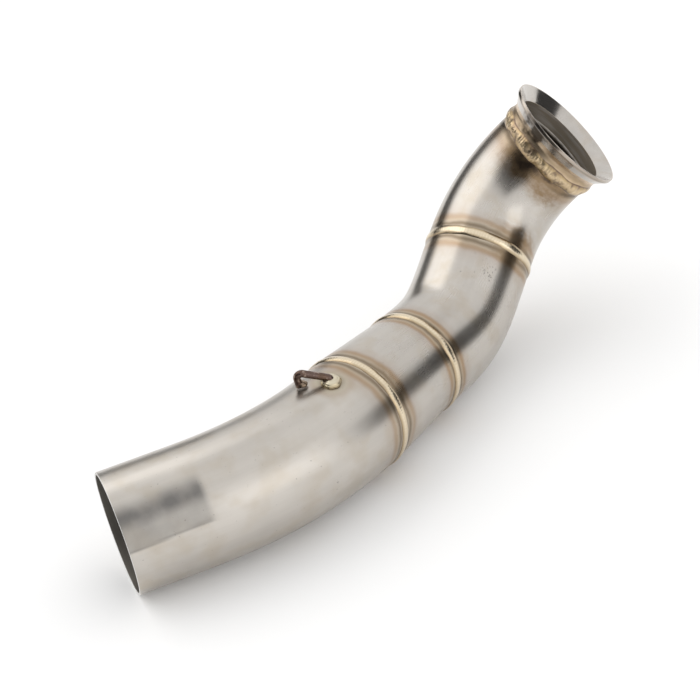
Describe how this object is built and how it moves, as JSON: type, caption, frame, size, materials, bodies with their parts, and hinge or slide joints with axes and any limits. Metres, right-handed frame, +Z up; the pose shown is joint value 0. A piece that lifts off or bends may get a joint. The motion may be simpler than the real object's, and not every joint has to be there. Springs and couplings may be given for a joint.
{
  "type": "exhaust header pipe",
  "caption": "Bent tubular exhaust header for a motorbike: welded stainless bends and a reducer, a flared inlet flange and a spring hook beside the plain slip-on outlet.",
  "frame": {"origin": "middle of the bounding box's underside, on the floor that the loose pipe rests on", "axes": "+Z up from the floor, +X horizontal from the outlet's centre towards the inlet flange's centre"},
  "size_m": [0.3474, 0.1019, 0.1241],
  "materials": {
    "tube": "satin stainless tube, heat tinted beside the welds",
    "weld": "straw gold heat-tinted weld bead",
    "flange": "turned outside, polished conical seat",
    "hook": "brown heat-tinted rod"
  },
  "bodies": {
    "root": {"lower_bend": "tube", "lower_weld": "weld", "reducer_cone": "tube", "middle_weld": "weld", "middle_bend": "tube", "upper_weld": "weld", "upper_bend": "tube", "flange_weld": "weld", "inlet_flange": "flange", "spring_hook": "hook", "hook_weld_rear": "weld", "hook_weld_front": "weld"}
  },
  "joints": []
}
